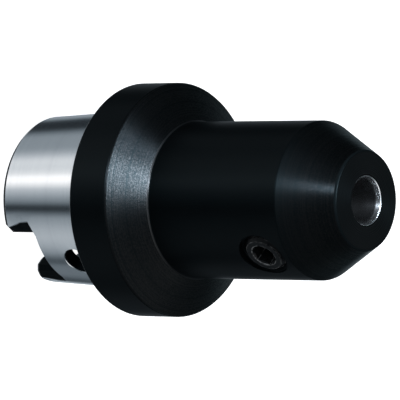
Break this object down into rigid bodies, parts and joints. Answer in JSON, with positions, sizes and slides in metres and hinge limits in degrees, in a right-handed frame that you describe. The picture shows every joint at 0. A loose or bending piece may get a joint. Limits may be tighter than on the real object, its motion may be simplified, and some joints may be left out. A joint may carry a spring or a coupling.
{
  "type": "side lock end mill holder",
  "caption": "Milling holder with a hollow taper shank and flange; a side screw locks a 12 mm flat-shank tool in its bore.",
  "frame": {"origin": "centre of the flange's contact face, where the shank's axis meets it", "axes": "+Z along the tool axis towards the nose, -Y towards the side lock screw, one drive slot and one key access hole; the holder stands on the end ring of its shank"},
  "size_m": [0.063, 0.063, 0.107],
  "materials": {
    "black_oxide_steel": "satin black oxide over turned steel; the shank's taper, the contact face, the shank's end and the tool bore are ground bright",
    "screw_steel": "black oxide, slightly oily"
  },
  "bodies": {
    "holder": {"holder_body": "black_oxide_steel"},
    "lock_screw": {"side_lock_screw": "screw_steel"}
  },
  "joints": [
    {"name": "lock_screw_travel", "type": "slide", "parent": "holder", "child": "lock_screw", "axis": [0, -1, 0], "range_m": [-0.00525, 0.007]}
  ]
}
